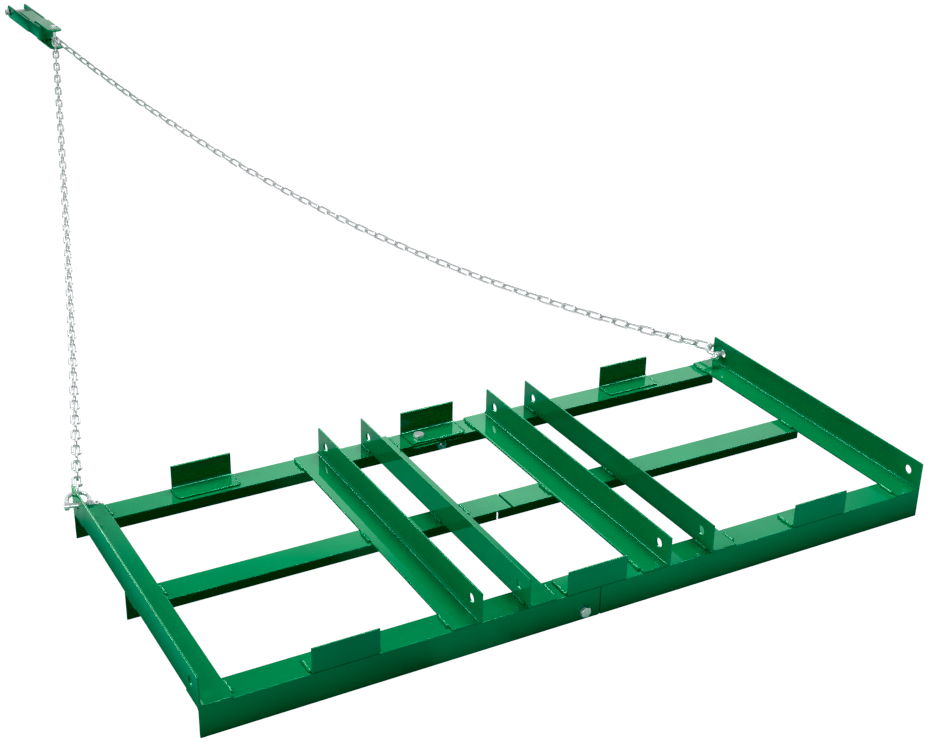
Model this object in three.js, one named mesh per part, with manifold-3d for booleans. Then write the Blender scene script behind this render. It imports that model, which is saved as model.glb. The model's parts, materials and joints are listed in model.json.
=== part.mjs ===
// Tow-behind driveway drag (land leveller): six half-rails and six cross members of
// angle iron, bolted together at the middle, towed by a two-leg chain bridle and a
// steel tow link.  Millimetres.  X to the right, Y forward (the towing direction), Z up.
// The origin is on the ground under the centre of the frame.
import * as THREE from 'three';
import * as BufferGeometryUtils from 'three/addons/utils/BufferGeometryUtils.js';
import Module from 'manifold-3d';

const wasm = await Module();
wasm.setup();

// ---------------------------------------------------------------- driving dimensions
const LEG = 65;                 // leg of the angle iron
const T = 4;                    // its thickness
const HALF_L = 838;             // half the width of the drag
const HALF_W = 376;             // half its depth
const FILLET = 7;               // inside fillet of the rolled angle
const GAP = 0.3;                // between pieces that bear on each other
const SEAM = 1.2;               // half the gap between the two halves, front and rear
const SEAM_MID = 2.5;           // half the gap in the middle rail
const MID_FRONT = 35.5;         // front face of the middle rail
const UP_1 = 273;               // outer face of the outer pair of inner members
const UP_2 = 163;               // inner face of the inner pair
const HOLE_Y = 337;             // holes in the uprights
const HOLE_Z = 99;
const HOLE_R = 10.25;
const TAB_LEG = 55;             // weight tabs
const TAB_IN = 485;
const TAB_OUT = 622;
const PIN_Y = 340.5;            // shackle pin
const PIN_Z = 99.8;
const PIN_R = 5.5;
const BOW_R = 4.75;             // shackle rod
const BOW_HALF = 23;            // eye centre to the plate's middle
const BOW_ARM = 23;             // straight arm before the arc
const BOW_YAW = 15.33 * Math.PI / 180; // turned to line up with its chain
const BOW_TILT = 4 * Math.PI / 180;
const WIRE = 6.4;               // chain wire
const LINK_W = 24.8;            // outer width of a link
const LINKS = 68;               // links in each leg of the bridle
const HITCH_Y = 3390;           // bolt that carries both chains
const HITCH_Z = 300;
const STACK = 4.75;             // half the height between the two end links
const STRIP_T = 6;              // tow link strip
const STRIP_H = 24.7;           // half its width
const WIDE = 35.5;              // outer half width of a clevis at its open end
const PLATE_IN = 25.5;          // the rear clevis beside its base
const EAR_IN = 31.1;            // and the front one
const LINK_Z = HITCH_Z + 4;     // middle of the strips
const LINK_DIP = 1.15 * Math.PI / 180; // the link hangs a little lower at its front
const CHAIN_BOLT_R = 5.7;
const CROSS_BOLT_R = 6.8;
const CROSS_Y = HITCH_Y + 526;

// ---------------------------------------------------------------- materials
const green = (name) => new THREE.MeshStandardMaterial({ name, color: 0x0a7a45, roughness: 0.32, metalness: 0.1 });
const zinc = (name) => new THREE.MeshStandardMaterial({ name, color: 0xc9ccd0, roughness: 0.34, metalness: 0.9 });

// ---------------------------------------------------------------- helpers
const clean = (g) => {
  const c = g.clone();
  for (const k of Object.keys(c.attributes)) if (k !== 'position') c.deleteAttribute(k);
  return BufferGeometryUtils.mergeVertices(c, 1e-4);
};
const solid = (g) => {
  const c = clean(g);
  return new wasm.Manifold(new wasm.Mesh({
    numProp: 3,
    vertProperties: new Float32Array(c.attributes.position.array),
    triVerts: new Uint32Array(c.index.array),
  }));
};
const geometry = (m) => {
  const mesh = m.getMesh();
  const g = new THREE.BufferGeometry();
  g.setAttribute('position', new THREE.BufferAttribute(new Float32Array(mesh.vertProperties), 3));
  g.setIndex(new THREE.BufferAttribute(new Uint32Array(mesh.triVerts), 1));
  return g;
};
const cut = (g, ...tools) => {
  let m = solid(g);
  for (const t of tools) m = m.subtract(solid(t));
  return geometry(m);
};
const join = (g, ...others) => {
  let m = solid(g);
  for (const o of others) m = m.add(solid(o));
  return geometry(m);
};
const meet = (g, ...others) => {
  let m = solid(g);
  for (const o of others) m = m.intersect(solid(o));
  return geometry(m);
};
const basis = (g, ux, vy, wz, ox = 0, oy = 0, oz = 0) => {
  const m = new THREE.Matrix4().makeBasis(new THREE.Vector3(...ux), new THREE.Vector3(...vy), new THREE.Vector3(...wz));
  m.setPosition(ox, oy, oz);
  g.applyMatrix4(m);
  return g;
};
const outline = (pts) => new THREE.Shape(pts.map(([a, b]) => new THREE.Vector2(a, b)));
const extrude = (pts, depth) => new THREE.ExtrudeGeometry(outline(pts), { depth, steps: 1, bevelEnabled: false });
// section in (Y, Z), run along X from x0 to x1
const alongX = (pts, x0, x1) => basis(extrude(pts, x1 - x0), [0, 1, 0], [0, 0, 1], [1, 0, 0], x0, 0, 0);
// section in (X, Z), run along Y from y0 to y1
const alongY = (pts, y0, y1) => basis(extrude(pts, y1 - y0), [1, 0, 0], [0, 0, 1], [0, -1, 0], 0, y1, 0);
// section in (X, Y), run along Z from z0 to z1
const alongZ = (pts, z0, z1) => basis(extrude(pts, z1 - z0), [1, 0, 0], [0, 1, 0], [0, 0, 1], 0, 0, z0);
const rod = (r, len, seg = 20) => new THREE.CylinderGeometry(r, r, len, seg);
const rodX = (r, x0, x1, y, z, seg = 20) => rod(r, x1 - x0, seg).rotateZ(-Math.PI / 2).translate((x0 + x1) / 2, y, z);
const rodY = (r, y0, y1, x, z, seg = 20) => rod(r, y1 - y0, seg).translate(x, (y0 + y1) / 2, z);
const rodZ = (r, z0, z1, x, y, seg = 20) => rod(r, z1 - z0, seg).rotateX(Math.PI / 2).translate(x, y, (z0 + z1) / 2);

// Rolled angle section.  The heel is at the origin, one leg runs along +a and the other
// along +b; the inside corner has a fillet and both toes are eased on the inside.
const angleSection = (legA, legB, heel = 0.8) => {
  const p = [];
  const arc = (cx, cy, r, a0, a1, n) => {
    for (let i = 0; i <= n; i++) {
      const a = (a0 + (a1 - a0) * i / n) * Math.PI / 180;
      p.push([cx + r * Math.cos(a), cy + r * Math.sin(a)]);
    }
  };
  const toe = 1.6;
  arc(heel, heel, heel, 180, 270, heel > 2 ? 4 : 1);
  p.push([legA, 0]);
  arc(legA - toe, T - toe, toe, 0, 90, 2);
  arc(T + FILLET, T + FILLET, FILLET, 270, 180, 4);
  arc(T - toe, legB - toe, toe, 0, 90, 2);
  p.push([0, legB]);
  return p;
};
const place = (pts, ox, sx, oy, sy) => {
  const q = pts.map(([a, b]) => [ox + sx * a, oy + sy * b]);
  return sx * sy < 0 ? q.reverse() : q;
};

// Hexagon of a given width across flats, with the corners chamfered on the outer face.
const hexPoints = (af) => Array.from({ length: 6 }, (_, i) => {
  const a = (i * 60 + 30) * Math.PI / 180;
  return [af / Math.sqrt(3) * Math.cos(a), af / Math.sqrt(3) * Math.sin(a)];
});
const hexBody = (af, h, both = false) => {
  const r = af / Math.sqrt(3);
  const c = (r - af / 2) * 0.62;
  const prism = extrude(hexPoints(af), h);
  const lo = both ? [[0, 0], [af / 2 * 0.97, 0], [r + 0.01, c]] : [[0, 0], [r + 0.01, 0]];
  const profile = [...lo, [r + 0.01, h - c], [af / 2 * 0.97, h], [0, h]].map(([x, y]) => new THREE.Vector2(x, y));
  const turned = new THREE.LatheGeometry(profile, 24).rotateX(Math.PI / 2);
  return meet(prism, turned);
};
// Bolt along +Z: the head's bearing face is at z = 0 and the shank runs down to -len.
const boltBody = (r, len, af, headH) => {
  const profile = [[0, -len], [r - 1.2, -len], [r, -len + 1.2], [r, 0.8], [0, 0.8]]
    .map(([x, y]) => new THREE.Vector2(x, y));
  const shank = new THREE.LatheGeometry(profile, 20).rotateX(Math.PI / 2);
  return join(hexBody(af, headH), shank);
};
const nutBody = (r, af, h) => cut(hexBody(af, h, true), rodZ(r + GAP, -1, h + 1, 0, 0));
const washerBody = (r, R, h) => cut(rodZ(R, 0, h, 0, 0, 28), rodZ(r + GAP, -1, h + 1, 0, 0));
// Turn a body built along +Z so that +Z points along the given axis, then move it.
const aim = (g, dir, x, y, z, spin = 0) => {
  const q = new THREE.Quaternion().setFromUnitVectors(new THREE.Vector3(0, 0, 1), new THREE.Vector3(...dir));
  g.rotateZ(spin);
  g.applyQuaternion(q);
  g.translate(x, y, z);
  return g;
};

const group = new THREE.Group();
group.name = 'driveway_drag';
const add = (parent, name, geom, material) => {
  const g = geom.index ? geom.toNonIndexed() : geom;
  g.computeVertexNormals();
  const mesh = new THREE.Mesh(g, material);
  mesh.name = name;
  parent.add(mesh);
  return mesh;
};
const frame = new THREE.Group();
const bridle = new THREE.Group();
const towLink = new THREE.Group();
group.add(frame, bridle, towLink);

// ---------------------------------------------------------------- rails
// The vertical leg is the blade.  Front and middle rails carry it at their front edge
// and the rear rail at its rear edge.
const frontRail = place(angleSection(LEG, LEG), HALF_W, -1, LEG, -1);
const midRail = place(angleSection(LEG, LEG), MID_FRONT, -1, LEG, -1);
const rearRail = place(angleSection(LEG, LEG), -HALF_W, 1, LEG, -1);

const TAB_BOLT_X = 36.5;        // bolts through the middle tabs
const TAB_BOLT_Y = 338;
const SPLICE_BOLT_X = 36.5;     // bolts through the blades
const SPLICE_BOLT_Z = 19;
const M12 = 6.0;

add(frame, 'front_rail_left', cut(alongX(frontRail, -HALF_L, -SEAM),
  rodZ(M12 + 0.5, 55, 70, -TAB_BOLT_X, TAB_BOLT_Y)), green('paint_front_rail_left'));
add(frame, 'front_rail_right', cut(alongX(frontRail, SEAM, HALF_L),
  rodY(M12 + 0.5, 365, 380, SPLICE_BOLT_X, SPLICE_BOLT_Z)), green('paint_front_rail_right'));
add(frame, 'middle_rail_left', alongX(midRail, -HALF_L, -SEAM_MID), green('paint_middle_rail_left'));
add(frame, 'middle_rail_right', alongX(midRail, SEAM_MID, HALF_L), green('paint_middle_rail_right'));
add(frame, 'rear_rail_left', cut(alongX(rearRail, -HALF_L, -SEAM),
  rodY(M12 + 0.5, -380, -365, -SPLICE_BOLT_X, SPLICE_BOLT_Z)), green('paint_rear_rail_left'));
add(frame, 'rear_rail_right', cut(alongX(rearRail, SEAM, HALF_L),
  rodZ(M12 + 0.5, 55, 70, TAB_BOLT_X, -TAB_BOLT_Y)), green('paint_rear_rail_right'));

// ---------------------------------------------------------------- cross members
// Each lies across all three rails: a flat leg on the rails and an upright leg with a
// round hole near each end.
const Z0 = LEG + GAP;
const member = (name, heelX, dir) => {
  const section = place(angleSection(LEG, LEG), heelX, dir, Z0, 1);
  add(frame, name, cut(alongY(section, -HALF_W, HALF_W),
    rodX(HOLE_R, heelX - 12, heelX + 12, HOLE_Y, HOLE_Z, 28),
    rodX(HOLE_R, heelX - 12, heelX + 12, -HOLE_Y, HOLE_Z, 28)), green('paint_' + name));
};
member('end_member_left', -HALF_L, 1);
member('cross_member_1', -UP_1 + T, -1);
member('cross_member_2', -UP_2 - T, 1);
member('cross_member_3', UP_2 + T, -1);
member('cross_member_4', UP_1 - T, 1);
member('end_member_right', HALF_L, -1);

// ---------------------------------------------------------------- weight tabs
const tab = (name, x0, x1, side, legDepth = TAB_LEG, boltX = null) => {
  const section = place(angleSection(legDepth, TAB_LEG), side * HALF_W, -side, Z0, 1);
  let g = alongX(section, x0, x1);
  if (boltX !== null) g = cut(g, rodZ(M12 + 0.5, 60, 75, boltX, side * TAB_BOLT_Y));
  add(frame, name, g, green('paint_' + name));
};
tab('tab_front_left', -TAB_OUT, -TAB_IN, 1);
tab('tab_front_right', TAB_IN, TAB_OUT, 1);
tab('tab_rear_left', -TAB_OUT, -TAB_IN, -1);
tab('tab_rear_right', TAB_IN, TAB_OUT, -1);
tab('tab_front_middle', -66, 71, 1, 62, -TAB_BOLT_X);
tab('tab_rear_middle', -77, 60, -1, 62, TAB_BOLT_X);

// ---------------------------------------------------------------- splice angles
// A short angle nested inside the joint of each outer rail, with a rounded heel that
// clears the rail's fillet.  Its toe reaches past the rail's toe.
const SP_Z = LEG - T - GAP;
const splice = (name, side, x0, x1) => {
  const section = place(angleSection(66, SP_Z - 1.5, 8), side * (HALF_W - T - GAP), -side, SP_Z, -1);
  const body = alongX(section, x0, x1);
  // rounded corners on the toe
  const r = 9;
  const yToe = side * (HALF_W - T - GAP - 66);
  const plan = [];
  const corner = (cx, cy, a0) => {
    for (let i = 0; i <= 4; i++) {
      const a = (a0 + i * 22.5) * Math.PI / 180;
      plan.push([cx + r * Math.cos(a), cy + r * Math.sin(a)]);
    }
  };
  if (side > 0) {
    corner(x0 + r, yToe + r, 180);
    corner(x1 - r, yToe + r, 270);
    plan.push([x1, 380], [x0, 380]);
  } else {
    plan.push([x0, -380], [x1, -380]);
    corner(x1 - r, yToe - r, 0);
    corner(x0 + r, yToe - r, 90);
  }
  add(frame, name, cut(meet(body, alongZ(plan, -5, 70)),
    rodZ(M12 + 0.5, 50, 66, -side * TAB_BOLT_X, side * TAB_BOLT_Y),
    rodY(M12 + 0.5, side > 0 ? 360 : -380, side > 0 ? 380 : -360, side * SPLICE_BOLT_X, SPLICE_BOLT_Z)),
  green('paint_' + name));
};
splice('splice_front', 1, -66, 64);
splice('splice_rear', -1, -64, 66);

// ---------------------------------------------------------------- frame bolts and nuts
const AF12 = 21;
const jointSet = (tag, side) => {
  const bx = side * SPLICE_BOLT_X;
  const tx = -side * TAB_BOLT_X;
  add(frame, `blade_bolt_${tag}`, aim(boltBody(M12, 27, AF12, 7.6), [0, side, 0], bx, side * (HALF_W + GAP), SPLICE_BOLT_Z, 0.2),
    zinc(`zinc_blade_bolt_${tag}`));
  add(frame, `blade_nut_${tag}`, aim(nutBody(M12, AF12, 10), [0, -side, 0], bx, side * (HALF_W - 2 * T - 2 * GAP), SPLICE_BOLT_Z, 0.5),
    zinc(`zinc_blade_nut_${tag}`));
  add(frame, `tab_bolt_${tag}`, aim(boltBody(M12, 30, 23.5, 8), [0, 0, 1], tx, side * TAB_BOLT_Y, Z0 + T + GAP, 0.35),
    zinc(`zinc_tab_bolt_${tag}`));
  add(frame, `tab_nut_${tag}`, aim(nutBody(M12, AF12, 10), [0, 0, -1], tx, side * TAB_BOLT_Y, SP_Z - T - GAP, 0.1),
    zinc(`zinc_tab_nut_${tag}`));
};
jointSet('front', 1);
jointSet('rear', -1);

// ---------------------------------------------------------------- shackles
// A bow of round rod with two eyes, and a screw pin that runs through both eyes and the
// hole in the end member.  Local frame: pin along X, bow towards +Y.
const bowPath = () => {
  const path = new THREE.CurvePath();
  const v = (x, y) => new THREE.Vector3(x, y, 0);
  path.add(new THREE.LineCurve3(v(-BOW_HALF, 7), v(-BOW_HALF, BOW_ARM)));
  const pts = [];
  for (let i = 0; i <= 24; i++) {
    const a = Math.PI - Math.PI * i / 24;
    pts.push(v(BOW_HALF * Math.cos(a), BOW_ARM + BOW_HALF * Math.sin(a)));
  }
  path.add(new THREE.CatmullRomCurve3(pts, false, 'centripetal'));
  path.add(new THREE.LineCurve3(v(BOW_HALF, BOW_ARM), v(BOW_HALF, 7)));
  return path;
};
const circle = (r, n) => outline(Array.from({ length: n }, (_, i) => [r * Math.cos(2 * Math.PI * i / n), r * Math.sin(2 * Math.PI * i / n)]));
const shackle = (name, side) => {
  const bow = new THREE.ExtrudeGeometry(circle(BOW_R, 12), { steps: 30, bevelEnabled: false, extrudePath: bowPath() });
  const eyes = [-1, 1].map((s) => rodX(9.6, s * BOW_HALF - BOW_R, s * BOW_HALF + BOW_R, 0, 0, 24));
  const holes = [-1, 1].map((s) => rodX(PIN_R + GAP, s * BOW_HALF - 8, s * BOW_HALF + 8, 0, 0, 24));
  const g = cut(join(bow, ...eyes), ...holes);
  g.rotateX(BOW_TILT);
  g.rotateZ(side * BOW_YAW);
  g.translate(side * (HALF_L - T / 2), PIN_Y, PIN_Z);
  add(bridle, name, g, zinc('zinc_' + name));
};
const pin = (name, side) => {
  // local: threaded end outwards (+X here), collar and flat ear inwards
  const shank = new THREE.LatheGeometry([[0, -29.5], [PIN_R - 1, -29.5], [PIN_R, -28.5], [PIN_R, 30], [0, 30]]
    .map(([x, y]) => new THREE.Vector2(x, y)), 20).rotateX(Math.PI / 2);
  const collar = rodZ(8.5, BOW_HALF + BOW_R + GAP, BOW_HALF + BOW_R + GAP + 3.4, 0, 0, 20);
  const ear = [];
  for (let i = 0; i <= 10; i++) {
    const a = Math.PI * i / 10;
    ear.push([8 * Math.cos(a), 38 + 8 * Math.sin(a)]);
  }
  ear.push([-4.5, 31], [4.5, 31]);
  // flat ear: outline in (a, b) with b along the pin; 5 mm thick
  const flat = extrude(ear, 5).translate(0, 0, -2.5);
  basis(flat, [1, 0, 0], [0, 0, 1], [0, -1, 0]);
  const eye = rod(3.2, 12, 16).translate(0, 0, 38.2);
  const g = cut(join(shank, collar, flat), eye);
  g.rotateZ(Math.PI / 2);
  g.applyQuaternion(new THREE.Quaternion().setFromUnitVectors(new THREE.Vector3(0, 0, 1), new THREE.Vector3(-side, 0, 0)));
  g.rotateZ(side * BOW_YAW);
  g.translate(side * (HALF_L - T / 2), PIN_Y, PIN_Z);
  add(bridle, name, g, zinc('zinc_' + name));
};
shackle('shackle_left', -1);
pin('shackle_pin_left', -1);
shackle('shackle_right', 1);
pin('shackle_pin_right', 1);

// ---------------------------------------------------------------- chain bridle
// Each leg hangs as a catenary from the shackle's bow to the bolt in the tow link.
const SLACK = 1.00646;          // length of a leg over the straight distance
const bowPoint = (side) => {
  const d = (BOW_ARM + BOW_HALF) * Math.cos(BOW_TILT);
  return new THREE.Vector3(side * (HALF_L - T / 2 - d * Math.sin(BOW_YAW)), PIN_Y + d * Math.cos(BOW_YAW),
    PIN_Z + (BOW_ARM + BOW_HALF) * Math.sin(BOW_TILT));
};
const catenary = (A, B, ratio) => {
  const h = Math.hypot(B.x - A.x, B.y - A.y);
  const v = B.z - A.z;
  const S = ratio * Math.hypot(h, v);
  const k = Math.sqrt(S * S - v * v) / h;
  let lo = 1e-6, hi = 5;
  for (let i = 0; i < 80; i++) {
    const u = (lo + hi) / 2;
    if (Math.sinh(u) / u < k) lo = u; else hi = u;
  }
  const a = h / (2 * lo);
  const x1 = a * Math.atanh(v / S) - h / 2;
  const s0 = a * Math.sinh(x1 / a);
  const ex = (B.x - A.x) / h, ey = (B.y - A.y) / h;
  const at = (s) => {
    const q = s0 + s;
    const x = a * Math.asinh(q / a) - x1;
    return new THREE.Vector3(A.x + ex * x, A.y + ey * x, A.z + Math.hypot(a, q) - Math.hypot(a, s0));
  };
  return { S, at };
};
const TUBE_STEPS = 38;
const leg = (side) => {
  const A = bowPoint(side);
  const B = new THREE.Vector3(0, HITCH_Y, HITCH_Z + side * STACK);
  return catenary(A, B, SLACK);
};
// A welded long-oval link in its own plane: long axis u, width axis w, centre c.
const linkGeometry = (c, u, w, inner, name, material) => {
  const n = 28, m = 10;
  const half = inner / 2 + WIRE / 2;            // to the wire's centre at the ends
  const rad = (LINK_W - WIRE) / 2;              // of the end arcs
  const straight = half - rad;
  const pts = [];
  for (let e = 0; e < 2; e++) {
    for (let i = 0; i < n / 2; i++) {
      const a = (-Math.PI / 2 + Math.PI * i / (n / 2 - 1)) + e * Math.PI;
      const s = e === 0 ? straight : -straight;
      pts.push({ p: [s + rad * Math.cos(a), rad * Math.sin(a)], o: [Math.cos(a), Math.sin(a)] });
    }
  }
  const N = new THREE.Vector3().crossVectors(u, w);
  const pos = [], idx = [];
  pts.forEach(({ p, o }) => {
    for (let j = 0; j < m; j++) {
      const b = 2 * Math.PI * j / m;
      const q = c.clone()
        .addScaledVector(u, p[0] + o[0] * WIRE / 2 * Math.cos(b))
        .addScaledVector(w, p[1] + o[1] * WIRE / 2 * Math.cos(b))
        .addScaledVector(N, WIRE / 2 * Math.sin(b));
      pos.push(q.x, q.y, q.z);
    }
  });
  const L = pts.length;
  for (let i = 0; i < L; i++) {
    for (let j = 0; j < m; j++) {
      const a = i * m + j, b = ((i + 1) % L) * m + j;
      const a2 = i * m + (j + 1) % m, b2 = ((i + 1) % L) * m + (j + 1) % m;
      idx.push(a, b, a2, b, b2, a2);
    }
  }
  const g = new THREE.BufferGeometry();
  g.setAttribute('position', new THREE.BufferAttribute(new Float32Array(pos), 3));
  g.setIndex(idx);
  add(bridle, name, g, material);
};
const legOfBridle = (tag, side) => {
  const cat = leg(side);
  const pitch = (cat.S + CHAIN_BOLT_R + GAP + BOW_R + GAP) / LINKS;
  const first = -BOW_R - GAP;                   // rear inner end of the first link
  const tube0 = first + pitch + WIRE + GAP;
  const tube1 = cat.S - 53;
  const pts = [];
  for (let i = 0; i <= 60; i++) pts.push(cat.at(tube0 + (tube1 - tube0) * i / 60));
  const path = new THREE.CatmullRomCurve3(pts, false, 'centripetal');
  path.arcLengthDivisions = 800;
  add(bridle, `chain_${tag}`, new THREE.ExtrudeGeometry(circle(LINK_W / 2, 10),
    { steps: TUBE_STEPS, bevelEnabled: false, extrudePath: path }), zinc(`zinc_chain_${tag}`));
  // end link on the shackle: its plane stands upright along the chain
  const A0 = cat.at(0), A1 = cat.at(pitch);
  const u = A1.clone().sub(A0).normalize();
  const side0 = new THREE.Vector3(u.y, -u.x, 0).normalize();
  const w = new THREE.Vector3().crossVectors(side0, u).normalize();
  linkGeometry(A0.clone().addScaledVector(u, first + pitch / 2), u, w, pitch, `end_link_shackle_${tag}`, zinc(`zinc_end_link_shackle_${tag}`));
  // end link on the bolt: its plane lies flat across the bolt
  const B0 = cat.at(cat.S), B1 = cat.at(cat.S - pitch);
  const u2 = B1.clone().sub(B0).normalize();
  const w2 = new THREE.Vector3(u2.y, -u2.x, 0).normalize();
  linkGeometry(B0.clone().addScaledVector(u2, -CHAIN_BOLT_R - GAP - 0.25 + pitch / 2), u2, w2, pitch, `end_link_hitch_${tag}`, zinc(`zinc_end_link_hitch_${tag}`));
};
legOfBridle('left', -1);
legOfBridle('right', 1);

// ---------------------------------------------------------------- tow link
// Two bent strips, each a clevis: the rear one lies flat and opens rearwards over the
// chain bolt, the front one stands upright and opens forwards over the drawbar.  The
// rear one is narrower at its base, where it lies between the ears of the front one, and
// the base of the front one lies between its wide arms.
const uProfile = (base, tip, j0, j1, narrow) => {
  const d = Math.sign(tip - base);
  const t = STRIP_T;
  const out = [], inn = [];
  out.push([-WIDE, tip], [-WIDE, j1], [-narrow, j0]);
  for (let i = 0; i <= 4; i++) {
    const a = Math.PI / 2 * i / 4;
    out.push([-narrow + 9 - 9 * Math.cos(a), base + d * (9 - 9 * Math.sin(a))]);
  }
  const outR = out.map(([a, y]) => [-a, y]).reverse();
  inn.push([-WIDE + t, tip], [-WIDE + t, j1 + d * 1], [-narrow + t, j0 + d * 1]);
  for (let i = 0; i <= 3; i++) {
    const a = Math.PI / 2 * i / 3;
    inn.push([-narrow + t + 3 - 3 * Math.cos(a), base + d * (t + 3 - 3 * Math.sin(a))]);
  }
  const innR = inn.map(([a, y]) => [-a, y]);
  // left outside, base, right outside, then back along the inside
  const loop = [...out, ...outR, ...innR, ...inn.slice().reverse()];
  return loop;
};
const stripPlan = (base, tip, flareCorner) => {
  const d = Math.sign(tip - base);
  const p = [[-STRIP_H, base - d * 2], [-STRIP_H, tip - d * flareCorner]];
  const n = 8;
  for (let i = 1; i < n; i++) {
    const a = Math.PI * i / n;
    p.push([-STRIP_H * Math.cos(a), tip - d * flareCorner * (1 - Math.sin(a))]);
  }
  p.push([STRIP_H, tip - d * flareCorner], [STRIP_H, base - d * 2]);
  return d > 0 ? p.reverse() : p;
};
const orient = (pts) => {
  let s = 0;
  pts.forEach(([a, b], i) => { const [c, d] = pts[(i + 1) % pts.length]; s += a * d - c * b; });
  return s < 0 ? pts.slice().reverse() : pts;
};
const dip = (g) => g.translate(0, -HITCH_Y, -HITCH_Z).rotateX(-LINK_DIP).translate(0, HITCH_Y, HITCH_Z);
// rear clevis: plates above and below, profile in (Z, Y) run along X
const rearProfile = orient(uProfile(HITCH_Y + 405, HITCH_Y - 32, HITCH_Y + 195, HITCH_Y + 160, PLATE_IN).map(([a, y]) => [y, a + LINK_Z]));
const rearPlan = orient(stripPlan(HITCH_Y + 405, HITCH_Y - 32, 20));
add(towLink, 'tow_clevis_rear', dip(cut(meet(alongX(rearProfile, -60, 60), alongZ(rearPlan, LINK_Z - 60, LINK_Z + 60)),
  rodZ(CHAIN_BOLT_R + 0.6, LINK_Z - 60, LINK_Z + 60, 0, HITCH_Y, 20))), green('paint_tow_clevis_rear'));
// front clevis: upright ears, profile in (X, Y) run along Z
const frontProfile = orient(uProfile(HITCH_Y + 95, HITCH_Y + 553, HITCH_Y + 240, HITCH_Y + 262, EAR_IN));
const frontPlan = orient(stripPlan(HITCH_Y + 95, HITCH_Y + 553, 17).map(([a, y]) => [y, a + LINK_Z]));
add(towLink, 'tow_clevis_front', dip(cut(meet(alongZ(frontProfile, LINK_Z - 60, LINK_Z + 60), alongX(frontPlan, -60, 60)),
  rodX(CROSS_BOLT_R + 0.6, -60, 60, CROSS_Y, LINK_Z, 20))), green('paint_tow_clevis_front'));

// bolt that carries both chains, its washer and nut
const TOP = LINK_Z + WIDE;
const BOT = LINK_Z - WIDE;
add(towLink, 'chain_bolt_washer', dip(aim(washerBody(CHAIN_BOLT_R, 14.5, 2.5), [0, 0, 1], 0, HITCH_Y, TOP + GAP)), zinc('zinc_chain_bolt_washer'));
add(towLink, 'chain_bolt', dip(aim(boltBody(CHAIN_BOLT_R, 2 * WIDE + 22, 22, 8.5), [0, 0, 1], 0, HITCH_Y, TOP + 2.5 + 2 * GAP, 0.3)), zinc('zinc_chain_bolt'));
add(towLink, 'chain_bolt_nut', dip(aim(nutBody(CHAIN_BOLT_R, 19, 10), [0, 0, -1], 0, HITCH_Y, BOT - GAP, 0.2)), zinc('zinc_chain_bolt_nut'));
// cross bolt for the tow vehicle's drawbar; its head stands off the left ear
const STANDOFF = 3;
add(towLink, 'cross_bolt_washer', dip(aim(washerBody(CROSS_BOLT_R, 14.5, 2.5), [-1, 0, 0], -WIDE - STANDOFF, CROSS_Y, LINK_Z)), zinc('zinc_cross_bolt_washer'));
add(towLink, 'cross_bolt', dip(aim(boltBody(CROSS_BOLT_R, 2 * WIDE + STANDOFF + 20, 22, 9), [-1, 0, 0], -WIDE - STANDOFF - 2.5 - GAP, CROSS_Y, LINK_Z, 0.2)), zinc('zinc_cross_bolt'));
add(towLink, 'cross_bolt_nut', dip(aim(nutBody(CROSS_BOLT_R, 22, 11), [1, 0, 0], WIDE + GAP, CROSS_Y, LINK_Z, 0.4)), zinc('zinc_cross_bolt_nut'));

export default group;
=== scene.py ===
import json
import math

import bmesh
import bpy
from mathutils import Matrix, Vector, noise

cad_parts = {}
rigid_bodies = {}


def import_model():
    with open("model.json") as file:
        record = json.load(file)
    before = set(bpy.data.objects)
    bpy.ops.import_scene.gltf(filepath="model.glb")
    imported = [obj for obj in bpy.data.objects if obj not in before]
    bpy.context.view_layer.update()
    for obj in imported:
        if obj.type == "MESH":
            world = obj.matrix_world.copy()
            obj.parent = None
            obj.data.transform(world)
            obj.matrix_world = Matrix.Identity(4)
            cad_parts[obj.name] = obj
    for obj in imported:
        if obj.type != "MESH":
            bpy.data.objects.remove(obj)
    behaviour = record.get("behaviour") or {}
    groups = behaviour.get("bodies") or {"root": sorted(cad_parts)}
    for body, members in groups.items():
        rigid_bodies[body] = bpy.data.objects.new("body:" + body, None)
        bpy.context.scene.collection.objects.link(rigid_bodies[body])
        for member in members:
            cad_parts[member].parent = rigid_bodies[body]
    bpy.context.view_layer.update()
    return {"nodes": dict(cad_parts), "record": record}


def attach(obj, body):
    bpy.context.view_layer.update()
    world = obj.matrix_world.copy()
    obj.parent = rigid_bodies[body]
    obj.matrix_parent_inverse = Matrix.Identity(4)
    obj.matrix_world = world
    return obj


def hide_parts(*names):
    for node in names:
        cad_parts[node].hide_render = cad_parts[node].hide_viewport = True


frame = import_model()
NODES = frame["nodes"]
SCENE = bpy.context.scene
COLL = SCENE.collection

# ------------------------------------------------------------------ camera
CAM_AT = Vector((-1.5500, -2.5671, 1.8183))
YAW, PITCH, ROLL = math.radians(29.316), math.radians(25.729), math.radians(1.157)


def make_camera():
    fw = Vector((math.sin(YAW) * math.cos(PITCH), math.cos(YAW) * math.cos(PITCH), -math.sin(PITCH)))
    r = fw.cross(Vector((0, 0, 1))).normalized()
    u = r.cross(fw)
    r2 = math.cos(ROLL) * r + math.sin(ROLL) * u
    u2 = -math.sin(ROLL) * r + math.cos(ROLL) * u
    cam = bpy.data.cameras.new("camera")
    cam.sensor_fit = "HORIZONTAL"
    cam.sensor_width = 36.0
    cam.lens = 62.06
    cam.clip_end = 200
    ob = bpy.data.objects.new("camera", cam)
    COLL.objects.link(ob)
    m = Matrix((r2, u2, -fw)).transposed().to_4x4()
    m.translation = CAM_AT
    ob.matrix_world = m
    SCENE.camera = ob


make_camera()


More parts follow.
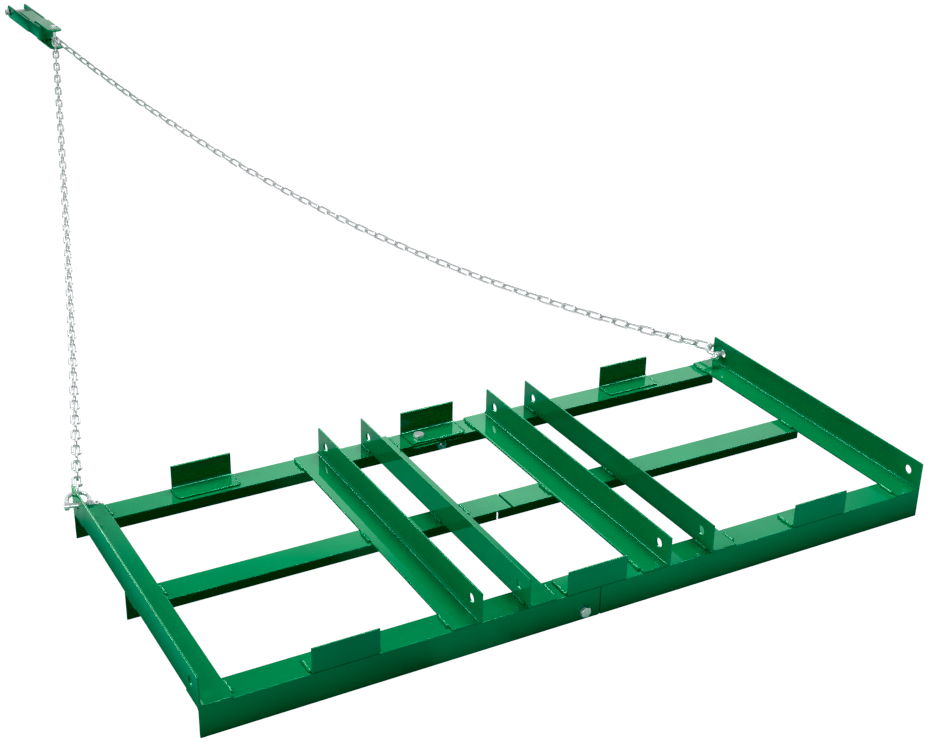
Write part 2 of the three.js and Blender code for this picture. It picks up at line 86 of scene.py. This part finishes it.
# ------------------------------------------------------------------ mesh helpers
def new_object(name, verts, faces, smooth=True, material=None):
    me = bpy.data.meshes.new(name)
    me.from_pydata([tuple(v) for v in verts], [], faces)
    me.validate()
    me.update()
    if smooth:
        me.polygons.foreach_set("use_smooth", [True] * len(me.polygons))
    ob = bpy.data.objects.new(name, me)
    COLL.objects.link(ob)
    if material is not None:
        me.materials.append(material)
    return ob


class Build:
    """Collects several closed bodies into one mesh."""

    def __init__(self):
        self.v, self.f = [], []

    def rings(self, rings, closed=False, caps=True):
        """rings: a list of equally long lists of points, in order along the body."""
        base, n = len(self.v), len(rings[0])
        for ring in rings:
            self.v.extend(ring)
        count = len(rings)
        for i in range(count if closed else count - 1):
            a, b = base + i * n, base + ((i + 1) % count) * n
            for j in range(n):
                k = (j + 1) % n
                self.f.append((a + j, a + k, b + k, b + j))
        if not closed and caps:
            self.f.append(tuple(base + j for j in reversed(range(n))))
            end = base + (count - 1) * n
            self.f.append(tuple(end + j for j in range(n)))

    def object(self, name, material, smooth=True):
        ob = new_object(name, self.v, self.f, smooth, material)
        bm = bmesh.new()
        bm.from_mesh(ob.data)
        bmesh.ops.recalc_face_normals(bm, faces=bm.faces)
        bm.to_mesh(ob.data)
        bm.free()
        return ob


def finish_piece(ob, body):
    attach(ob, body)
    return ob


# ------------------------------------------------------------------ the chains
MM = 0.001
PIN_Y, PIN_Z = 340.5, 99.8
BOW_HALF, BOW_ARM, BOW_R = 23.0, 23.0, 4.75
BOW_TILT, BOW_YAW = math.radians(4.0), math.radians(15.33)
PLATE_X = 836.0
HITCH_Y, HITCH_Z, STACK = 3390.0, 300.0, 4.75
CHAIN_BOLT_R, GAP = 5.7, 0.3
WIRE, LINK_W, LINKS, SLACK = 6.4, 24.8, 68, 1.00646


def catenary(A, B, ratio):
    h = math.hypot(B.x - A.x, B.y - A.y)
    v = B.z - A.z
    S = ratio * math.hypot(h, v)
    k = math.sqrt(S * S - v * v) / h
    lo, hi = 1e-6, 5.0
    for _ in range(80):
        u = (lo + hi) / 2
        if math.sinh(u) / u < k:
            lo = u
        else:
            hi = u
    a = h / (2 * lo)
    x1 = a * math.atanh(v / S) - h / 2
    s0 = a * math.sinh(x1 / a)
    ex, ey = (B.x - A.x) / h, (B.y - A.y) / h

    def at(s):
        q = s0 + s
        x = a * math.asinh(q / a) - x1
        return Vector((A.x + ex * x, A.y + ey * x, A.z + math.hypot(a, q) - math.hypot(a, s0)))

    return S, at


def leg(side):
    d = (BOW_ARM + BOW_HALF) * math.cos(BOW_TILT)
    A = Vector((side * (PLATE_X - d * math.sin(BOW_YAW)), PIN_Y + d * math.cos(BOW_YAW),
                PIN_Z + (BOW_ARM + BOW_HALF) * math.sin(BOW_TILT)))
    B = Vector((0, HITCH_Y, HITCH_Z + side * STACK))
    return catenary(A, B, SLACK)


def link_rings(c, u, w, pitch, weld_side=1, n=32, m=10, seed=0):
    """Rings of one welded long-oval link: long axis u, width axis w, inner length pitch."""
    N = u.cross(w)
    half, rad = pitch / 2 + WIRE / 2, (LINK_W - WIRE) / 2
    straight = half - rad
    pts = []
    arc = 11
    for e in range(2):
        s = straight if e == 0 else -straight
        for i in range(arc):
            a = -math.pi / 2 + math.pi * i / (arc - 1) + e * math.pi
            pts.append((s + rad * math.cos(a), rad * math.sin(a), math.cos(a), math.sin(a), 1.0))
        # the straight side that follows, with the butt weld in the middle of one of them
        y = rad if e == 0 else -rad
        for t in (0.25, 0.4, 0.46, 0.5, 0.54, 0.6, 0.75):
            x = s * (1 - 2 * t)
            weld = (e == 0) == (weld_side > 0)
            bulge = 1.0 + (0.13 * math.exp(-((t - 0.5) / 0.05) ** 2) if weld else 0.0)
            pts.append((x, y, 0.0, 1.0 if e == 0 else -1.0, bulge))
    rings = []
    for i, (px, py, ox, oy, k) in enumerate(pts):
        ring = []
        r = WIRE / 2 * k * (1 + 0.02 * noise.noise(Vector((seed * 7.3, i * 0.4, 0.0))))
        for j in range(m):
            b = 2 * math.pi * j / m
            q = c + u * (px + ox * r * math.cos(b)) + w * (py + oy * r * math.cos(b)) + N * (r * math.sin(b))
            ring.append(q * MM)
        rings.append(ring)
    return rings


def build_chain(tag, side):
    S, at = leg(side)
    pitch = (S + CHAIN_BOLT_R + GAP + BOW_R + GAP) / LINKS
    first = -BOW_R - GAP
    build = Build()
    for k in range(1, LINKS - 1):
        s0 = first + k * pitch
        a, b = at(s0), at(s0 + pitch)
        u = (b - a).normalized()
        c = (a + b) / 2
        across = Vector((u.y, -u.x, 0)).normalized()
        up = across.cross(u).normalized()
        # link 0 stands upright on the shackle and the last link lies flat on the bolt
        roll = math.radians(90 + 90 * k) + math.radians(24) * math.sin(math.pi * k / (LINKS - 1)) * side
        roll += math.radians(7) * noise.noise(Vector((k * 0.9, side * 5.1, 1.7)))
        w = across * math.cos(roll) + up * math.sin(roll)
        build.rings(link_rings(c, u, w, pitch, 1 if k % 3 else -1, seed=k + side * 100), closed=True)
    tube0, tube1 = first + pitch, first + (LINKS - 1) * pitch
    path = [at(tube0 + (tube1 - tube0) * i / 240) * MM for i in range(241)]
    length = sum((path[i + 1] - path[i]).length for i in range(240))
    return build, path, length


CHAINS = {tag: build_chain(tag, side) for tag, side in (("left", -1), ("right", 1))}


# ------------------------------------------------------------------ materials
def nodes_of(mat):
    mat.use_nodes = True
    nt = mat.node_tree
    nt.nodes.clear()
    out = nt.nodes.new("ShaderNodeOutputMaterial")
    bsdf = nt.nodes.new("ShaderNodeBsdfPrincipled")
    nt.links.new(bsdf.outputs["BSDF"], out.inputs["Surface"])
    coord = nt.nodes.new("ShaderNodeTexCoord")
    return nt, bsdf, coord.outputs["Object"]


def add_noise(nt, vec, scale, detail=2.0, rough=0.5, stretch=None):
    src = vec
    if stretch is not None:
        mp = nt.nodes.new("ShaderNodeMapping")
        mp.inputs["Scale"].default_value = stretch
        nt.links.new(vec, mp.inputs["Vector"])
        src = mp.outputs["Vector"]
    n = nt.nodes.new("ShaderNodeTexNoise")
    n.inputs["Scale"].default_value = scale
    n.inputs["Detail"].default_value = detail
    n.inputs["Roughness"].default_value = rough
    nt.links.new(src, n.inputs["Vector"])
    return n.outputs["Fac"]


def ramp(nt, fac, stops):
    r = nt.nodes.new("ShaderNodeValToRGB")
    el = r.color_ramp.elements
    el[0].position, el[0].color = stops[0][0], (*stops[0][1], 1)
    el[1].position, el[1].color = stops[-1][0], (*stops[-1][1], 1)
    for p, c in stops[1:-1]:
        e = el.new(p)
        e.color = (*c, 1)
    nt.links.new(fac, r.inputs["Fac"])
    return r.outputs["Color"]


def map_range(nt, fac, lo, hi, a, b):
    m = nt.nodes.new("ShaderNodeMapRange")
    m.inputs["From Min"].default_value = lo
    m.inputs["From Max"].default_value = hi
    m.inputs["To Min"].default_value = a
    m.inputs["To Max"].default_value = b
    nt.links.new(fac, m.inputs["Value"])
    return m.outputs["Result"]


def bump(nt, height, strength, distance, normal=None):
    b = nt.nodes.new("ShaderNodeBump")
    b.inputs["Strength"].default_value = strength
    b.inputs["Distance"].default_value = distance
    nt.links.new(height, b.inputs["Height"])
    if normal is not None:
        nt.links.new(normal, b.inputs["Normal"])
    return b.outputs["Normal"]


def green_paint(name, bead=False):
    """Glossy green enamel sprayed over mill-finish steel."""
    mat = bpy.data.materials.new(name)
    nt, bsdf, vec = nodes_of(mat)
    tone = add_noise(nt, vec, 7.0, 3.0, 0.55)
    col = ramp(nt, tone, [(0.3, (0.0, 0.185, 0.048)), (0.7, (0.0, 0.230, 0.062))])
    fleck = add_noise(nt, vec, 420.0, 2.0, 0.6)
    fl = map_range(nt, fleck, 0.35, 0.75, 0.0, 0.24)
    mix = nt.nodes.new("ShaderNodeMix")
    mix.data_type = "RGBA"
    nt.links.new(fl, mix.inputs["Factor"])
    nt.links.new(col, mix.inputs["A"])
    mix.inputs["B"].default_value = (0.0, 0.30, 0.11, 1)
    nt.links.new(mix.outputs["Result"], bsdf.inputs["Base Color"])
    rough = map_range(nt, add_noise(nt, vec, 24.0, 3.0), 0.3, 0.7, 0.03, 0.07)
    nt.links.new(rough, bsdf.inputs["Roughness"])
    bsdf.inputs["Specular IOR Level"].default_value = 0.5
    bsdf.inputs["Specular Tint"].default_value = (0.22, 1.0, 0.60, 1)
    bsdf.inputs["IOR"].default_value = 1.5
    wave = bump(nt, add_noise(nt, vec, 12.0, 1.0), 0.008, 0.0009)
    if bead:
        wave = bump(nt, add_noise(nt, vec, 520.0, 2.0), 0.20, 0.0005, wave)
    nt.links.new(wave, bsdf.inputs["Normal"])
    return mat


def zinc(name, lo, hi, metal, scale=1.0):
    """Bright zinc plating with its faint mottling and handling marks."""
    mat = bpy.data.materials.new(name)
    nt, bsdf, vec = nodes_of(mat)
    mott = add_noise(nt, vec, 180.0 * scale, 4.0, 0.6)
    a, b = lo, hi
    col = ramp(nt, mott, [(0.30, (a, a * 1.01, a * 1.03)), (0.50, (b * 0.95, b * 0.96, b * 0.98)), (0.72, (b, b, b * 0.98))])
    nt.links.new(col, bsdf.inputs["Base Color"])
    bsdf.inputs["Metallic"].default_value = metal
    rough = map_range(nt, add_noise(nt, vec, 320.0 * scale, 3.0), 0.3, 0.7, 0.16, 0.34)
    nt.links.new(rough, bsdf.inputs["Roughness"])
    n = bump(nt, add_noise(nt, vec, 900.0 * scale, 2.0), 0.16, 0.0003)
    nt.links.new(n, bsdf.inputs["Normal"])
    return mat


GREEN = green_paint("green_enamel")
GREEN_BEAD = green_paint("green_enamel_on_weld", bead=True)
ZINC = zinc("zinc_plate", 0.74, 0.90, 0.6)
ZINC_CHAIN = zinc("zinc_chain", 0.65, 0.89, 0.88, 1.3)

# ------------------------------------------------------------------ CAD nodes: finish and eased edges
slot_of = {s["node"]: s["material_slot"] for s in frame["record"]["subparts"]}
for name, ob in NODES.items():
    ob.data.materials.clear()
    ob.data.materials.append(GREEN if slot_of[name] == "green_paint" else ZINC)
    ob.data.polygons.foreach_set("use_smooth", [True] * len(ob.data.polygons))
    if name.startswith("chain_l") or name.startswith("chain_r"):
        continue
    weld = ob.modifiers.new("merge", "WELD")
    weld.merge_threshold = 2e-5
    if not name.startswith("end_link"):
        bev = ob.modifiers.new("eased_edges", "BEVEL")
        bev.limit_method = "ANGLE"
        bev.angle_limit = math.radians(38)
        bev.width = 0.0012 if slot_of[name] == "green_paint" else 0.0004
        bev.segments = 2
        bev.use_clamp_overlap = True
    wn = ob.modifiers.new("normals", "WEIGHTED_NORMAL")
    wn.mode = "FACE_AREA"
    wn.weight = 80
    wn.keep_sharp = False

# ------------------------------------------------------------------ chain pieces
for tag, (build, path, length) in CHAINS.items():
    ob = build.object(f"chain_links_{tag}", ZINC_CHAIN)
    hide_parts(f"chain_{tag}")
    finish_piece(ob, "chain_bridle")
TOW = ["tow_clevis_rear", "tow_clevis_front", "chain_bolt_washer", "chain_bolt", "chain_bolt_nut",
       "cross_bolt_washer", "cross_bolt", "cross_bolt_nut"]
for tag, (build, path, length) in CHAINS.items():
    going = [NODES[f"end_link_shackle_{tag}"], NODES[f"end_link_hitch_{tag}"],
             NODES[f"shackle_{tag}"], NODES[f"shackle_pin_{tag}"]]
    if tag == "left":
        going += [NODES[n] for n in TOW]
    tuple(path[0])
    [tuple(p) for p in path]


# ------------------------------------------------------------------ weld beads
def bead(build, a, b, r, seed, out, ripple=3.4):
    """A painted weld bead from a to b (mm): a lumpy rope half sunk in the corner."""
    a, b = Vector(a), Vector(b)
    d = (b - a).normalized()
    L = (b - a).length
    up = Vector((0, 0, 1)) if abs(d.z) < 0.7 else Vector(out)
    side = d.cross(up).normalized()
    up = side.cross(d).normalized()
    n = max(8, int(L / 0.9))
    m = 12
    rings = []
    for i in range(n + 1):
        t = i / n
        s = t * L
        end = min(1.0, math.sqrt(max(0.0, 1 - ((1 - min(s, L - s) / (1.1 * r)) if min(s, L - s) < 1.1 * r else 0) ** 2)) + 0.05)
        ph = 2 * math.pi * (s / ripple + 0.25 * noise.noise(Vector((seed, s * 0.05, 3.0))))
        rip = 0.5 + 0.5 * math.cos(ph)
        lump = noise.noise(Vector((seed * 3.7, s * 0.11, 0.0)))
        rr = r * (0.80 + 0.16 * rip + 0.34 * lump) * end
        off = Vector(out) * (1.1 * noise.noise(Vector((seed * 1.9, s * 0.09, 9.0)))) + up * (0.7 * noise.noise(Vector((seed * 2.3, s * 0.12, 5.0))))
        c = a + d * s + off
        ring = []
        for j in range(m):
            g = 2 * math.pi * j / m
            k = 1 + 0.10 * noise.noise(Vector((seed + j * 0.8, s * 0.35, j * 1.1)))
            ring.append((c + side * (rr * k * math.cos(g)) + up * (rr * k * math.sin(g))) * MM)
        rings.append(ring)
    build.rings(rings)


def drop(build, c, r, seed):
    """A small spatter ball near a weld (mm)."""
    c = Vector(c)
    rings = []
    for i in range(1, 6):
        th = math.pi * i / 6
        rings.append([(c + Vector((math.sin(th) * math.cos(g) * r, math.sin(th) * math.sin(g) * r, math.cos(th) * r * 0.8))) * MM
                      for g in (2 * math.pi * j / 8 for j in range(8))])
    build.rings(rings)


T, LEG, HALF_L, HALF_W = 4.0, 65.0, 838.0, 376.0
TOP = 65.0
RAILS = {"front": (314.0, 371.0), "middle": (-27.0, 31.0), "rear": (-371.0, -314.0)}
# name: (heel face x, toe x)
MEMBERS = {"end_member_left": (-838.0, -773.0), "cross_member_1": (-269.0, -334.0), "cross_member_2": (-167.0, -102.0),
           "cross_member_3": (167.0, 102.0), "cross_member_4": (269.0, 334.0), "end_member_right": (838.0, 773.0)}


def rnd(seed):
    return 0.5 + 0.5 * noise.noise(Vector((seed * 12.9898, seed * 4.1414, seed * 1.37)))


seed = 1
for name, (heel, toe) in MEMBERS.items():
    b = Build()
    sgn = 1 if toe > heel else -1
    for rail, (y0, y1) in RAILS.items():
        seed += 1
        a0 = y0 + 3 + 8 * rnd(seed)
        a1 = y1 - 2 - 9 * rnd(seed + 0.5)
        bead(b, (toe + sgn * 1.2, a0, TOP + 2.0), (toe + sgn * 1.0, a1, TOP + 2.0), 4.0, seed, (sgn, 0, 0))
        drop(b, (toe + sgn * (8 + 5 * rnd(seed + 0.2)), a0 + 12, TOP + 0.3), 1.0, seed)
        if not name.startswith("end"):
            bead(b, (heel - sgn * 1.2, y0 + 5 + 6 * rnd(seed + 0.7), TOP + 2.0), (heel - sgn * 1.2, y1 - 3 - 6 * rnd(seed + 0.8), TOP + 2.0),
                 4.0, seed + 0.33, (-sgn, 0, 0))
    if name.startswith("end"):
        for ys in (1, -1):
            seed += 1
            x0, x1 = sorted((heel + sgn * 7, toe - sgn * 3))
            bead(b, (x0, ys * (HALF_W - 0.8), TOP + 1.6), (x1, ys * (HALF_W - 0.8), TOP + 1.6), 3.0, seed, (0, ys, 0))
    finish_piece(b.object(f"welds_{name}", GREEN_BEAD), "drag_frame")

TABS = {"tab_front_left": (-622, -485, 1, 55), "tab_front_right": (485, 622, 1, 55), "tab_rear_left": (-622, -485, -1, 55),
        "tab_rear_right": (485, 622, -1, 55), "tab_front_middle": (-66, 71, 1, 62), "tab_rear_middle": (-77, 60, -1, 62)}
for name, (x0, x1, ys, depth) in TABS.items():
    b = Build()
    ends = [(x0, -1), (x1, 1)]
    if name == "tab_front_middle":
        ends = [(x1, 1)]
    if name == "tab_rear_middle":
        ends = [(x0, -1)]
    for x, sx in ends:
        seed += 1
        ya, yb = ys * (HALF_W - 5), ys * (HALF_W - depth + 4)
        bead(b, (x + sx * 1.2, ya, TOP + 1.8), (x + sx * 1.0, yb, TOP + 1.8), 3.6, seed, (sx, 0, 0))
    if name == "tab_front_middle":
        seed += 1
        bead(b, (2, ys * (HALF_W - depth - 1.5), TOP + 1.6), (69, ys * (HALF_W - depth - 1.5), TOP + 1.8), 5.6, seed, (0, -ys, 0), ripple=8.5)
        for k in range(5):
            drop(b, (18 + 11 * k, ys * (HALF_W - depth + 3 * rnd(seed + k * 1.3)), TOP + 3.6), 2.6 + 1.6 * rnd(seed + k), seed + k)
    finish_piece(b.object(f"welds_{name}", GREEN_BEAD), "drag_frame")

# ------------------------------------------------------------------ floor, light, world
floor_mat = bpy.data.materials.new("studio_floor")
nt, bsdf, vec = nodes_of(floor_mat)


def math_node(tree, kind, a, b):
    n = tree.nodes.new("ShaderNodeMath")
    n.operation = kind
    for sock, val in zip(n.inputs, (a, b)):
        if isinstance(val, (int, float)):
            sock.default_value = val
        else:
            tree.links.new(val, sock)
    return n.outputs["Value"]


fcol = ramp(nt, add_noise(nt, vec, 1.5, 2.0), [(0.3, (0.058, 0.058, 0.058)), (0.7, (0.064, 0.064, 0.064))])
nt.links.new(fcol, bsdf.inputs["Base Color"])
bsdf.inputs["Roughness"].default_value = 1.0
bsdf.inputs["Specular IOR Level"].default_value = 0.0
# the floor's glow is painted light: it glows plain white to the eye; in the paint it shows as a painted reflection,
# bright around the drag and dim and green in the drag's own shade, and it glows onto the drag as painted bounce light,
# dim in its shade
split = nt.nodes.new("ShaderNodeSeparateXYZ")
nt.links.new(vec, split.inputs[0])
fx, fy = split.outputs["X"], split.outputs["Y"]
near = map_range(nt, fy, -0.50, -0.37, 1.0, 0.0)
away = math_node(nt, "MAXIMUM", near, map_range(nt, fy, 0.42, 0.55, 0.0, 1.0))
away = math_node(nt, "MAXIMUM", away, map_range(nt, fx, -1.30, -1.05, 1.0, 0.0))
away = math_node(nt, "MAXIMUM", away, map_range(nt, fx, 0.95, 1.10, 0.0, 1.0))
away = math_node(nt, "MULTIPLY", away, map_range(nt, fy, 3.0, 3.2, 1.0, 0.0))
lane = math_node(nt, "MULTIPLY", map_range(nt, fx, -0.42, -0.33, 0.0, 1.0), map_range(nt, fx, -0.22, -0.16, 1.0, 0.0))
lane = math_node(nt, "MAXIMUM", lane, map_range(nt, fx, -0.90, -0.86, 1.0, 0.0))
# painted reflection: how bright the floor glows for mirror rays, brighter around the drag
lit = math_node(nt, "ADD", 0.14, math_node(nt, "MULTIPLY", away, 0.66))
lit = math_node(nt, "MAXIMUM", lit, math_node(nt, "MULTIPLY", near, 0.65))
lit = math_node(nt, "MAXIMUM", lit, math_node(nt, "MULTIPLY", lane, 0.64))
path = nt.nodes.new("ShaderNodeLightPath")
# painted bounce light: how much the floor glows onto the drag, dim in the drag's own shade
soft = math_node(nt, "ADD", 0.04, math_node(nt, "MULTIPLY", away, 0.30))
soft = math_node(nt, "ADD", soft, math_node(nt, "MULTIPLY", near, 0.90))
glow = math_node(nt, "MULTIPLY", path.outputs["Is Camera Ray"], 1.05)
glow = math_node(nt, "ADD", glow, math_node(nt, "MULTIPLY", path.outputs["Is Diffuse Ray"], soft))
glow = math_node(nt, "ADD", glow, math_node(nt, "MULTIPLY", path.outputs["Is Glossy Ray"], lit))
nt.links.new(glow, bsdf.inputs["Emission Strength"])
# painted green reflection of the drag's shade, for mirror rays: in the drag's footprint and beside the left end member
beside = math_node(nt, "MULTIPLY", map_range(nt, fx, -0.90, -0.84, 1.0, 0.0), map_range(nt, fy, 0.5, 1.0, 0.85, 0.0))
shade = math_node(nt, "MAXIMUM", beside, math_node(nt, "SUBTRACT", 1.0, away))
shade = math_node(nt, "MULTIPLY", path.outputs["Is Glossy Ray"], shade)
painted_shade_tint = nt.nodes.new("ShaderNodeMix")
painted_shade_tint.data_type = "RGBA"
nt.links.new(shade, painted_shade_tint.inputs["Factor"])
painted_shade_tint.inputs["A"].default_value = (1, 1, 1, 1)
painted_shade_tint.inputs["B"].default_value = (0.20, 1.0, 0.56, 1)
nt.links.new(painted_shade_tint.outputs["Result"], bsdf.inputs["Emission Color"])
floor = new_object("studio_floor", [(-40, -40, 0), (40, -40, 0), (40, 40, 0), (-40, 40, 0)], [(0, 1, 2, 3)], False, floor_mat)


def area(name, at, target, size, power, color=(1, 1, 1)):
    li = bpy.data.lights.new(name, "AREA")
    li.shape = "RECTANGLE"
    li.size, li.size_y = size
    li.energy = power
    li.color = color
    ob = bpy.data.objects.new(name, li)
    ob.location = at
    ob.rotation_euler = (Vector(target) - Vector(at)).to_track_quat("-Z", "Y").to_euler()
    COLL.objects.link(ob)
    return ob


top = area("overhead", (1.4, 1.6, 4.4), (0.1, 0.3, 0.0), (2.4, 2.4), 238)
top.visible_glossy = False
area("left", (-3.3, 0.8, 2.6), (-0.2, 0.0, 0.05), (1.8, 1.8), 80)
strip = area("strip", (-0.05, 4.1, 3.4), (0.0, 0.0, 0.05), (0.5, 3.0), 90, (0.86, 1.0, 0.84))
strip.visible_diffuse = False
rim = area("rim", (2.1, 0.9, 4.0), (2.1, 0.0, 0.0), (3.8, 1.8), 640, (1.0, 1.0, 0.86))
rim.visible_diffuse = False
# the rim and strip lights are for the painted steel, and a soft one from the near side for the fasteners
painted = bpy.data.collections.new("painted_steel")
bright = bpy.data.collections.new("zinc_fasteners")
for name, ob in NODES.items():
    if slot_of[name] == "green_paint":
        painted.objects.link(ob)
    elif name not in ("chain_left", "chain_right"):
        bright.objects.link(ob)
for ob in COLL.objects:
    if ob.name.startswith("welds_"):
        painted.objects.link(ob)
rim.light_linking.receiver_collection = painted
strip.light_linking.receiver_collection = painted
near_side = area("near_side", (-2.4, -3.0, 1.3), (-0.2, 0.0, 0.1), (1.6, 1.0), 34)
near_side.light_linking.receiver_collection = bright


def studio_world():
    """A soft room: a lit far wall, a dim near side and a weak fill from the left."""
    world = bpy.data.worlds.new("studio")
    SCENE.world = world
    world.use_nodes = True
    wt = world.node_tree
    bg = wt.nodes["Background"]
    tc = wt.nodes.new("ShaderNodeTexCoord")
    sep = wt.nodes.new("ShaderNodeSeparateXYZ")
    wt.links.new(tc.outputs["Generated"], sep.inputs["Vector"])

    def dot(x, y, z):
        n = wt.nodes.new("ShaderNodeVectorMath")
        n.operation = "DOT_PRODUCT"
        wt.links.new(tc.outputs["Generated"], n.inputs[0])
        n.inputs[1].default_value = (x, y, z)
        return n.outputs["Value"]

    def step(src, lo, hi, a, b):
        n = wt.nodes.new("ShaderNodeMapRange")
        n.interpolation_type = "SMOOTHSTEP"
        n.inputs["From Min"].default_value = lo
        n.inputs["From Max"].default_value = hi
        n.inputs["To Min"].default_value = a
        n.inputs["To Max"].default_value = b
        wt.links.new(src, n.inputs["Value"])
        return n.outputs["Result"]

    def op(kind, a, b):
        n = wt.nodes.new("ShaderNodeMath")
        n.operation = kind
        for sock, val in zip(n.inputs, (a, b)):
            if isinstance(val, (int, float)):
                sock.default_value = val
            else:
                wt.links.new(val, sock)
        return n.outputs["Value"]

    z = sep.outputs["Z"]
    az0 = math.radians(34)
    ahead = dot(math.sin(az0), math.cos(az0), 0)
    across = dot(math.cos(az0), -math.sin(az0), 0)
    above = step(z, -0.02, 0.04, 0.0, 1.0)
    wall = op("MULTIPLY", step(z, 0.50, 0.555, 1.0, 0.0), above)
    wall = op("MULTIPLY", wall, step(ahead, 0.1, 0.5, 0.0, 1.0))
    wall = op("MULTIPLY", wall, step(across, -0.36, -0.10, 0.20, 1.0))
    wall = op("MULTIPLY", wall, step(across, -0.05, 0.05, 1.0, 0.72))
    wall = op("MULTIPLY", wall, step(across, 0.10, 0.20, 1.0, 0.15))
    fill = op("MULTIPLY", step(dot(-1, 0, 0), 0.25, 0.95, 0.0, 1.0), above)
    total = op("ADD", op("MULTIPLY", wall, 2.05), op("MULTIPLY", fill, 0.15))
    total = op("ADD", total, step(z, -0.1, 0.3, 0.01, 0.02))
    # a pale ceiling that only shows as a reflection
    ray = wt.nodes.new("ShaderNodeLightPath")
    total = op("ADD", total, op("MULTIPLY", op("MULTIPLY", ray.outputs["Is Glossy Ray"], above), 0.26))
    wt.links.new(total, bg.inputs["Strength"])
    bg.inputs["Color"].default_value = (1, 1, 1, 1)


studio_world()
SCENE.view_settings.view_transform = "Standard"
SCENE.view_settings.use_curve_mapping = True
SCENE.view_settings.curve_mapping.black_level = (0.04, 0.0, 0.004)
SCENE.view_settings.curve_mapping.update()
